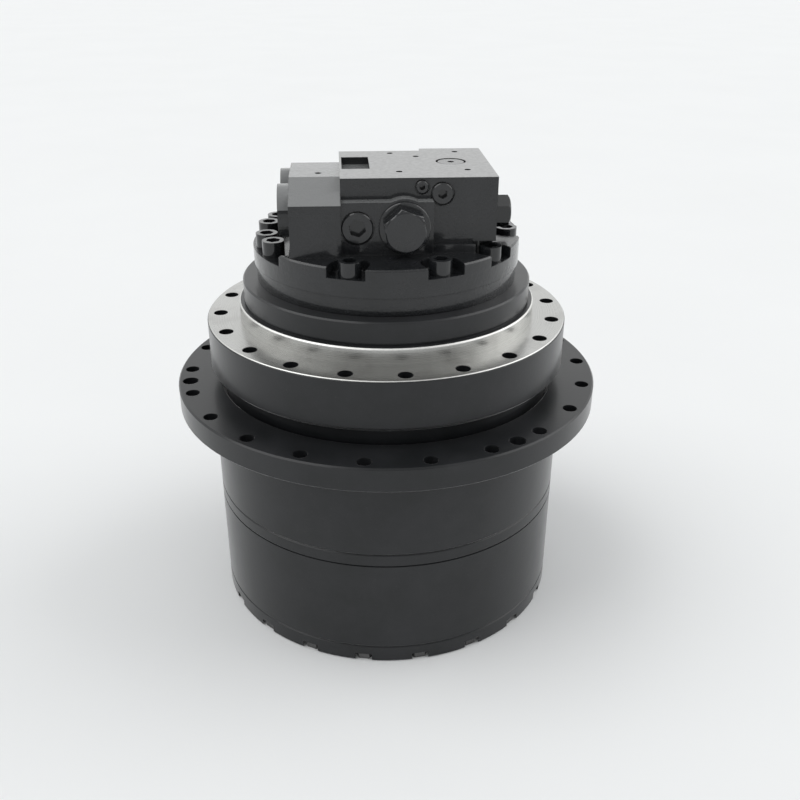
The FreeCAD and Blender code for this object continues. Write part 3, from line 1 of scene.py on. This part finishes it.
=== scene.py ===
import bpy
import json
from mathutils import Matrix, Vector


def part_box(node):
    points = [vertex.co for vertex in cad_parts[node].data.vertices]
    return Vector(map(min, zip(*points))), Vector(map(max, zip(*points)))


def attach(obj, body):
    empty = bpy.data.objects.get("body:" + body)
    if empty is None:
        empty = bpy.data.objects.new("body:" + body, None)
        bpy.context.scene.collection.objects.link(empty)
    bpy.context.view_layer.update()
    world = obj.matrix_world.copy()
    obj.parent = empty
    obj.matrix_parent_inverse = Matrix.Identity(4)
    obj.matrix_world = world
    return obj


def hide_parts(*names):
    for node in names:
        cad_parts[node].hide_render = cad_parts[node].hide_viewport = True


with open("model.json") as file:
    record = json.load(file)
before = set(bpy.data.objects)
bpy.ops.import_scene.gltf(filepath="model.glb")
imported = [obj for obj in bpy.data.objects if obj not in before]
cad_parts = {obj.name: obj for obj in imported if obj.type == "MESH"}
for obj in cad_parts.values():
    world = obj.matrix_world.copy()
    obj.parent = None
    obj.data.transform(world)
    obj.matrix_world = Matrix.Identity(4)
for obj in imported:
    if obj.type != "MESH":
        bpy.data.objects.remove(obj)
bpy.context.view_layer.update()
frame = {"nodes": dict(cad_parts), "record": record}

import json
import math

import bpy
from mathutils import Matrix, Vector

MM = 0.001

# Heights and radii from the part's axis, in metres, between which the casing is bare steel
BARE_HEIGHTS = (0.3093, 0.3262)
BARE_RADII = (0.140, 0.1806)
# Height above which the rear cover is milled, and above which its upward faces carry a painted reflection:
# pale grey painted into the black enamel's colour
MILLED_ABOVE = 0.4588
PAINTED_REFLECTION_ABOVE = 0.43

# Places on the rear cover, in millimetres
BLOCK_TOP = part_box("rear_cover")[1][2] / MM
WING_TOP = BLOCK_TOP - 3
SPOOL_Z = BLOCK_TOP - 42
RELIEF_Z = BLOCK_TOP - 44
BLOCK_FRONT = -74
SPOOL_FRONT = -86
SPOOL_BACK = 44
FRONT, BACK, RIGHT, UP = (0, -1, 0), (0, 1, 0), (1, 0, 0), (0, 0, 1)

# ---------------------------------------------------------------------------
# Shader helpers
# ---------------------------------------------------------------------------
class Shader:
    """A material with short calls for adding and joining nodes."""

    def __init__(self, name):
        self.material = bpy.data.materials.new(name)
        self.material.use_nodes = True
        self.tree = self.material.node_tree
        self.tree.nodes.clear()
        self.output = self.add("ShaderNodeOutputMaterial")

    def add(self, kind, inputs=None, **settings):
        node = self.tree.nodes.new(kind)
        for key, value in settings.items():
            setattr(node, key, value)
        for key, value in (inputs or {}).items():
            self.feed(node, key, value)
        return node

    def feed(self, node, key, value):
        socket = node.inputs[key]
        if isinstance(value, bpy.types.NodeSocket):
            self.tree.links.new(value, socket)
        elif isinstance(value, bpy.types.Node):
            self.tree.links.new(value.outputs[0], socket)
        else:
            socket.default_value = value

    def math(self, operation, first, second=0.0):
        return self.add("ShaderNodeMath", {0: first, 1: second}, operation=operation).outputs[0]

    def noise(self, vector, scale, detail, roughness):
        node = self.add("ShaderNodeTexNoise", {
            "Vector": vector, "Scale": scale, "Detail": detail, "Roughness": roughness})
        return node.outputs[0]

    def spread(self, value, low, high):
        """Low to high as a noise value goes from 0.3 to 0.7."""
        node = self.add("ShaderNodeMapRange", {
            "Value": value, "From Min": 0.3, "From Max": 0.7, "To Min": low, "To Max": high})
        return node.outputs[0]

    def ramp(self, value, stops):
        node = self.add("ShaderNodeValToRGB", {0: value})
        elements = node.color_ramp.elements
        while len(elements) < len(stops):
            elements.new(0.5)
        for element, (position, colour) in zip(elements, stops):
            element.position = position
            element.color = (*colour, 1.0)
        return node.outputs[0]

    def grey_ramp(self, value, stops):
        return self.ramp(value, [(position, (level, level, level)) for position, level in stops])

    def mix(self, factor, first, second):
        node = self.add("ShaderNodeMix", data_type="RGBA")
        self.feed(node, 0, factor)
        self.feed(node, 6, first)
        self.feed(node, 7, second)
        return node.outputs[2]

    def bump(self, height, distance, strength, normal=None):
        node = self.add("ShaderNodeBump", {"Height": height, "Distance": distance, "Strength": strength})
        if normal is not None:
            self.feed(node, "Normal", normal)
        return node.outputs[0]

    def principled(self, **inputs):
        names = {key.replace("_", " "): value for key, value in inputs.items()}
        return self.add("ShaderNodeBsdfPrincipled", names)

    def finish(self, surface):
        self.feed(self.output, "Surface", surface)
        return self.material


def place(shader):
    """Object coordinates, with the radius from the part's axis and the height."""
    coords = shader.add("ShaderNodeTexCoord").outputs["Object"]
    split = shader.add("ShaderNodeSeparateXYZ", {0: coords})
    x, y, z = split.outputs[0], split.outputs[1], split.outputs[2]
    radius = shader.math("SQRT", shader.math("ADD", shader.math("MULTIPLY", x, x),
                                             shader.math("MULTIPLY", y, y)))
    return coords, radius, z


def between(shader, value, low, high):
    """1 where a value lies between two limits, else 0."""
    above = shader.math("GREATER_THAN", value, low)
    below = shader.math("LESS_THAN", value, high)
    return shader.math("MULTIPLY", above, below)


# ---------------------------------------------------------------------------
# Materials
# ---------------------------------------------------------------------------
BLACK = (0.010, 0.011, 0.012, 1.0)
BLACK_PALE = (0.018, 0.019, 0.021, 1.0)
DUST = (0.12, 0.12, 0.115, 1.0)
MATT = 0.2
SATIN = {"Coat_Weight": 0.4, "Coat_Roughness": 0.2, "Sheen_Weight": 0.45, "Sheen_Roughness": 0.25}
SATIN_ROUGHNESS = (0.34, 0.44)
ORANGE_PEEL = 0.00008
LATHE_LINES = 2400.0
EDGE_SOFTNESS = 0.8 * MM
CAST_EDGE_SOFTNESS = 2.2 * MM


def soft_edges(shader, radius):
    """Surface normal with the edges softened, as under a coat of paint."""
    return shader.add("ShaderNodeBevel", {"Radius": radius}, samples=4).outputs[0]


def paint_surface(shader, coords, rough_low, rough_high):
    """Sprayed black enamel: faint cloudy colour, uneven gloss, orange peel and dust."""
    cloud = shader.noise(coords, 18.0, 4.0, 0.6)
    dust = shader.noise(coords, 420.0, 2.0, 0.7)
    specks = shader.grey_ramp(dust, [(0.66, 0.0), (0.74, 1.0)])
    colour = shader.mix(shader.grey_ramp(cloud, [(0.35, 0.0), (0.7, 1.0)]), BLACK, BLACK_PALE)
    colour = shader.mix(shader.math("MULTIPLY", specks, 0.08), colour, DUST)
    rough = shader.spread(cloud, rough_low, rough_high)
    normal = shader.bump(shader.noise(coords, 260.0, 2.0, 0.5), ORANGE_PEEL, 0.5,
                         soft_edges(shader, EDGE_SOFTNESS))
    return colour, rough, normal


def drum_paint(name):
    """Satin black enamel on turned faces."""
    shader = Shader(name)
    coords, _, _ = place(shader)
    colour, rough, normal = paint_surface(shader, coords, *SATIN_ROUGHNESS)
    return shader.finish(shader.principled(
        Base_Color=colour, Roughness=rough, Normal=normal, Specular_IOR_Level=MATT, **SATIN))


def turned_steel(shader, coords, radius, height):
    """Bare steel with the fine circular lines of a lathe tool."""
    across = shader.math("MULTIPLY", radius, LATHE_LINES)
    along = shader.math("MULTIPLY", height, LATHE_LINES)
    lines = shader.add("ShaderNodeTexNoise", {
        "W": shader.math("ADD", across, along),
        "Scale": 1.0, "Detail": 3.0, "Roughness": 0.7}, noise_dimensions="1D").outputs[0]
    stains = shader.noise(coords, 30.0, 5.0, 0.65)
    colour = shader.mix(shader.grey_ramp(lines, [(0.3, 0.0), (0.7, 1.0)]),
                        (0.46, 0.46, 0.45, 1.0), (0.68, 0.68, 0.66, 1.0))
    colour = shader.mix(shader.grey_ramp(stains, [(0.5, 0.0), (0.8, 0.5)]), colour, (0.30, 0.29, 0.28, 1.0))
    rough = shader.spread(lines, 0.22, 0.38)
    normal = shader.bump(lines, 0.00006, 0.35)
    return colour, rough, normal


def casing_material(name):
    """Black enamel, with the frame face and the pilot above it left as bare turned steel."""
    shader = Shader(name)
    coords, radius, height = place(shader)
    colour, rough, normal = paint_surface(shader, coords, *SATIN_ROUGHNESS)
    paint = shader.principled(
        Base_Color=colour, Roughness=rough, Normal=normal, Specular_IOR_Level=MATT, **SATIN)
    colour, rough, normal = turned_steel(shader, coords, radius, height)
    tangent = shader.add("ShaderNodeTangent", direction_type="RADIAL", axis="Z").outputs[0]
    steel = shader.principled(
        Base_Color=colour, Roughness=rough, Normal=normal, Metallic=1.0, Anisotropic=0.75, Tangent=tangent)
    bare = shader.math("MULTIPLY", between(shader, height, *BARE_HEIGHTS),
                       between(shader, radius, *BARE_RADII))
    mixed = shader.add("ShaderNodeMixShader", {0: bare, 1: paint.outputs[0], 2: steel.outputs[0]})
    return shader.finish(mixed.outputs[0])


def cast_paint(name):
    """Glossy enamel over a rough sand casting, with smooth machined faces on top, and a painted reflection
    (pale grey colour) on upward faces just below the top.
    """
    shader = Shader(name)
    coords, _, height = place(shader)
    colour, rough, _ = paint_surface(shader, coords, 0.20, 0.30)
    facing = shader.add("ShaderNodeSeparateXYZ", {0: shader.add("ShaderNodeNewGeometry").outputs["Normal"]})
    # Mask of upward faces just below the milled top, where the painted reflection goes
    painted_reflection_mask = shader.math("MULTIPLY", shader.math("GREATER_THAN", facing.outputs[2], 0.25),
                         between(shader, height, PAINTED_REFLECTION_ABOVE, MILLED_ABOVE))
    grains = shader.noise(coords, 520.0, 3.0, 0.55)
    swell = shader.noise(coords, 90.0, 3.0, 0.5)
    sand = shader.math("ADD", grains, shader.math("MULTIPLY", swell, 1.6))
    milled_top = shader.math("GREATER_THAN", height, MILLED_ABOVE)
    depth = shader.math("MULTIPLY", sand, shader.math("SUBTRACT", 1.0, milled_top))
    normal = shader.bump(depth, 0.0006, 0.8, soft_edges(shader, CAST_EDGE_SOFTNESS))
    # Painted reflection: upward faces in this band are painted pale grey in place of the backdrop's
    # reflection in the black enamel
    colour = shader.mix(shader.math("MULTIPLY", painted_reflection_mask, 0.8), colour, (0.22, 0.225, 0.225, 1.0))
    paint = shader.principled(
        Base_Color=colour, Roughness=rough, Normal=normal, Specular_IOR_Level=MATT, Coat_Weight=0.7,
        Coat_Roughness=0.12)
    scratches = shader.grey_ramp(shader.noise(coords, 240.0, 4.0, 0.7), [(0.35, 0.34), (0.7, 0.46)])
    milled = shader.principled(
        Base_Color=scratches, Roughness=0.34, Metallic=0.85, Normal=shader.bump(grains, 0.00006, 0.5))
    mixed = shader.add("ShaderNodeMixShader", {0: milled_top, 1: paint.outputs[0], 2: milled.outputs[0]})
    return shader.finish(mixed.outputs[0])


def fastener_paint(name):
    """Glossy black enamel on screws, plugs and caps."""
    shader = Shader(name)
    coords, _, _ = place(shader)
    colour, rough, _ = paint_surface(shader, coords, 0.18, 0.30)
    normal = shader.bump(shader.noise(coords, 380.0, 2.0, 0.5), 0.00012, 0.5,
                         soft_edges(shader, EDGE_SOFTNESS))
    return shader.finish(shader.principled(
        Base_Color=colour, Roughness=rough, Normal=normal, Specular_IOR_Level=MATT, Coat_Weight=0.8,
        Coat_Roughness=0.12))


def metal(name, dark, pale, rough_low, rough_high):
    """Bare metal with a cloudy colour and a fine grain."""
    shader = Shader(name)
    coords, _, _ = place(shader)
    cloud = shader.noise(coords, 60.0, 5.0, 0.65)
    grain = shader.noise(coords, 840.0, 2.0, 0.6)
    colour = shader.mix(shader.grey_ramp(cloud, [(0.3, 0.0), (0.7, 1.0)]), (*dark, 1.0), (*pale, 1.0))
    rough = shader.spread(grain, rough_low, rough_high)
    return shader.finish(shader.principled(
        Base_Color=colour, Roughness=rough, Metallic=1.0, Normal=shader.bump(grain, 0.00005, 0.4)))


def plain(name, dark, pale, rough_low, rough_high):
    """Rubber or lining with a cloudy colour and a fine grain."""
    shader = Shader(name)
    coords, _, _ = place(shader)
    cloud = shader.noise(coords, 80.0, 4.0, 0.6)
    grain = shader.noise(coords, 900.0, 2.0, 0.6)
    colour = shader.mix(cloud, (*dark, 1.0), (*pale, 1.0))
    rough = shader.spread(grain, rough_low, rough_high)
    return shader.finish(shader.principled(
        Base_Color=colour, Roughness=rough, Normal=shader.bump(grain, 0.0001, 0.5)))


SLOT_MATERIALS = {
    "hub_paint": drum_paint("hub_paint"),
    "ring_paint": drum_paint("ring_paint"),
    "end_cover_paint": drum_paint("end_cover_paint"),
    "casing_paint": casing_material("casing_paint"),
    "rear_cover_paint": cast_paint("rear_cover_paint"),
    "screw_paint": fastener_paint("screw_paint"),
    "cap_paint": fastener_paint("cap_paint"),
    "plug_paint": fastener_paint("plug_paint"),
    "bolt_steel": metal("bolt_steel", (0.10, 0.10, 0.10), (0.18, 0.18, 0.18), 0.35, 0.5),
    "ground_steel": metal("ground_steel", (0.45, 0.45, 0.45), (0.6, 0.6, 0.6), 0.2, 0.32),
    "seal_rubber": plain("seal_rubber", (0.02, 0.02, 0.02), (0.035, 0.035, 0.035), 0.5, 0.7),
    "seal_iron": metal("seal_iron", (0.25, 0.25, 0.26), (0.34, 0.34, 0.35), 0.25, 0.4),
    "bronze": metal("bronze", (0.50, 0.33, 0.16), (0.66, 0.46, 0.24), 0.28, 0.42),
    "cage_brass": metal("cage_brass", (0.60, 0.44, 0.18), (0.75, 0.58, 0.28), 0.25, 0.4),
    "brake_lining": plain("brake_lining", (0.16, 0.12, 0.08), (0.24, 0.19, 0.13), 0.6, 0.8),
}
SLOT_OF = {row["node"]: row["material_slot"] for row in frame["record"]["subparts"]}
for node, slot in SLOT_OF.items():
    mesh = frame["nodes"][node].data
    mesh.materials.clear()
    mesh.materials.append(SLOT_MATERIALS[slot])


# ---------------------------------------------------------------------------
# Socket plugs with ring gaps, and chamfered hexagon heads
# ---------------------------------------------------------------------------
SEGMENTS = 48


def make_object(name, mesh):
    obj = bpy.data.objects.new(name, mesh)
    bpy.context.scene.collection.objects.link(obj)
    return obj


def hexagon(flats):
    """Distance from a hexagon's middle to its side, as a function of the angle."""
    sector = math.radians(60)
    return lambda angle: flats / 2 / math.cos((angle + sector / 2) % sector - sector / 2)


class Skin:
    """One mesh made of rows of points around one axis after another."""

    def __init__(self):
        self.points = []
        self.faces = []

    def add(self, rows, base, direction, turn=0.0):
        """Add rows of points around an axis, each a radius and a height, closed at both ends."""
        turned = Vector(direction).to_track_quat("Z", "Y").to_matrix().to_4x4()
        seated = Matrix.Translation(Vector(base)) @ turned
        first = len(self.points)
        for radius_at, height in rows:
            for step in range(SEGMENTS):
                angle = 2 * math.pi * step / SEGMENTS
                reach = radius_at(angle) if callable(radius_at) else radius_at
                spot = Vector((reach * math.cos(angle + turn), reach * math.sin(angle + turn), height))
                self.points.append((seated @ spot) * MM)
        for row in range(len(rows) - 1):
            low = first + row * SEGMENTS
            for step in range(SEGMENTS):
                after = (step + 1) % SEGMENTS
                self.faces.append((low + step, low + after, low + SEGMENTS + after, low + SEGMENTS + step))
        last = first + (len(rows) - 1) * SEGMENTS
        self.faces.append(tuple(range(last, last + SEGMENTS)))
        self.faces.append(tuple(range(first + SEGMENTS - 1, first - 1, -1)))

    def finish(self, name, replaced):
        """Make the piece, which rides on the casing in place of a CAD node."""
        mesh = bpy.data.meshes.new(name)
        mesh.from_pydata(self.points, [], self.faces)
        mesh.materials.append(SLOT_MATERIALS[SLOT_OF[replaced]])
        piece = make_object(name, mesh)
        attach(piece, "casing_body")
        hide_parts(replaced)


def plug_rows(hole_r, depth, flats, proud, gap=1.1, gap_depth=2.5, edge=1.0):
    """Socket plug in a hole: thread, ring gap, chamfered rim and hexagon socket."""
    thread_r = hole_r - 0.05
    face_r = hole_r - gap
    return [(thread_r, -depth), (thread_r, -gap_depth), (face_r, -gap_depth), (face_r, proud - edge),
            (face_r - edge, proud), (hexagon(flats), proud), (hexagon(flats), proud - depth / 2)]


def head_rows(flats, bottom, top, chamfer):
    """Hexagon head whose corners are turned off by a cone."""
    full = hexagon(flats)
    rows = [(full, bottom)]
    for part in range(5):
        height = top - chamfer * (1 - part / 4)
        cone_r = flats / 2 - 0.8 + (top - height) * 1.5
        rows.append((lambda angle, cone_r=cone_r: min(full(angle), cone_r), height))
    return rows


def build_plugs():
    plugs = Skin()
    plugs.add(plug_rows(15.5, 14, 14, 0.8), (-30.5, SPOOL_FRONT, SPOOL_Z), FRONT, math.radians(12))
    plugs.add(plug_rows(15.5, 14, 14, 0.8), (-30.5, SPOOL_BACK, SPOOL_Z), BACK)
    plugs.add(plug_rows(14.5, 12, 6, -0.4), (61.4, -7.3, BLOCK_TOP), UP)
    plugs.add(plug_rows(11, 12, 8, 0.6), (46.8, BLOCK_FRONT, BLOCK_TOP - 14.8), FRONT)
    plugs.add(plug_rows(7, 12, 5, 0.6), (28.3, BLOCK_FRONT, BLOCK_TOP - 8.6), FRONT)
    gallery_plug = plug_rows(3, 4.9, 2.5, -1.4, 0.3, 2.6, 0.3)
    for x, y in ((5.4, 32.9), (29.8, 16.8), (9.3, -48.8), (70.5, 37.3), (72.7, -44.0)):
        plugs.add(gallery_plug, (x, y, BLOCK_TOP), UP)
    plugs.add(gallery_plug, (-64.7, -38.1, WING_TOP), UP)
    plugs.finish("socket_plugs", "cover_plugs")


def build_caps():
    """Spool end caps: a round collar under a chamfered hexagon."""
    caps = Skin()
    collar = [(16, -2), (23.5, 0), (23.5, 1.7), (22.7, 2.5)]
    for y, direction in ((SPOOL_FRONT, FRONT), (SPOOL_BACK, BACK)):
        caps.add(collar + head_rows(36, 2.6, 17.4, 4.0), (12, y, SPOOL_Z), direction, math.radians(10.5))
    caps.finish("hexagon_caps", "spool_end_caps")


def build_valve_head():
    valve = Skin()
    block_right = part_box("relief_valve")[1][0] / MM - 20
    neck = [(11.9, -6), (11.9, 0)]
    valve.add(neck + head_rows(27, 0.1, 19.9, 3.0), (block_right, -25, RELIEF_Z), RIGHT)
    valve.finish("relief_valve_head", "relief_valve")


# ---------------------------------------------------------------------------
# Floor, light and camera
# ---------------------------------------------------------------------------
def build_floor():
    """A pale floor, 60 m across, so that its edge lies far behind the object."""
    half = 30.0
    mesh = bpy.data.meshes.new("floor")
    corners = [(-half, -half, 0), (half, -half, 0), (half, half, 0), (-half, half, 0)]
    mesh.from_pydata(corners, [], [(0, 1, 2, 3)])
    floor = make_object("floor", mesh)
    shader = Shader("floor_white")
    coords = shader.add("ShaderNodeTexCoord").outputs["Object"]
    cloud = shader.noise(coords, 2.2, 4.0, 0.55)
    colour = shader.mix(cloud, (0.84, 0.85, 0.85, 1.0), (0.88, 0.89, 0.89, 1.0))
    mesh.materials.append(shader.finish(shader.principled(Base_Color=colour, Roughness=0.75)))


def build_light():
    """A pale studio: even light, a dimmer side towards the front for reflections, and two soft suns."""
    world = bpy.data.worlds.new("studio")
    bpy.context.scene.world = world
    world.use_nodes = True
    tree = world.node_tree
    tree.nodes.clear()

    def add(kind, inputs=None, **settings):
        node = tree.nodes.new(kind)
        for key, value in settings.items():
            setattr(node, key, value)
        for key, value in (inputs or {}).items():
            if isinstance(value, bpy.types.NodeSocket):
                tree.links.new(value, node.inputs[key])
            else:
                node.inputs[key].default_value = value
        return node

    path = add("ShaderNodeLightPath")
    shiny = add("ShaderNodeMath", {
        0: path.outputs["Is Glossy Ray"], 1: path.outputs["Is Transmission Ray"]}, operation="MAXIMUM")
    direction = add("ShaderNodeSeparateXYZ", {0: add("ShaderNodeTexCoord").outputs["Generated"]})
    depth = add("ShaderNodeMapRange", {
        "Value": direction.outputs[1], "From Min": -0.9, "From Max": 0.3, "To Min": 0.35, "To Max": 1.0})
    diffuse = add("ShaderNodeBackground", {0: (0.98, 0.99, 1.0, 1.0), 1: 0.64})
    reflected = add("ShaderNodeBackground", {0: (0.99, 1.0, 1.0, 1.0), 1: depth.outputs[0]})
    seen = add("ShaderNodeBackground", {0: (0.99, 1.0, 1.0, 1.0), 1: 0.84})
    lit = add("ShaderNodeMixShader", {0: shiny.outputs[0], 1: diffuse.outputs[0], 2: reflected.outputs[0]})
    mixed = add("ShaderNodeMixShader", {
        0: path.outputs["Is Camera Ray"], 1: lit.outputs[0], 2: seen.outputs[0]})
    add("ShaderNodeOutputWorld", {0: mixed.outputs[0]})

    for name, towards, strength in (
            ("left_sun", (-0.55, -0.05, 0.83), 0.95),
            ("right_sun", (0.80, 0.10, 0.60), 0.85)):
        light = bpy.data.lights.new(name, "SUN")
        light.energy = strength
        light.angle = math.radians(50)
        lamp = bpy.data.objects.new(name, light)
        bpy.context.scene.collection.objects.link(lamp)
        lamp.rotation_euler = (-Vector(towards)).to_track_quat("-Z", "Y").to_euler()


def build_camera():
    """A camera above and in front of the object, which looks down on it and is rolled a little."""
    data = bpy.data.cameras.new("camera")
    camera = bpy.data.objects.new("camera", data)
    bpy.context.scene.collection.objects.link(camera)
    data.sensor_width = 36.0
    data.lens = 41.2
    data.clip_end = 100.0
    eye = Vector((-0.04768, -0.88608, 0.6447))
    target = Vector((0.01422, -0.00099, 0.2025))
    turn = (target - eye).to_track_quat("-Z", "Y").to_matrix().to_4x4()
    camera.matrix_world = Matrix.Translation(eye) @ turn @ Matrix.Rotation(math.radians(0.229), 4, "Z")
    bpy.context.scene.camera = camera


build_plugs()
build_caps()
build_valve_head()
build_floor()
build_light()
build_camera()
bpy.context.scene.view_settings.view_transform = "Standard"
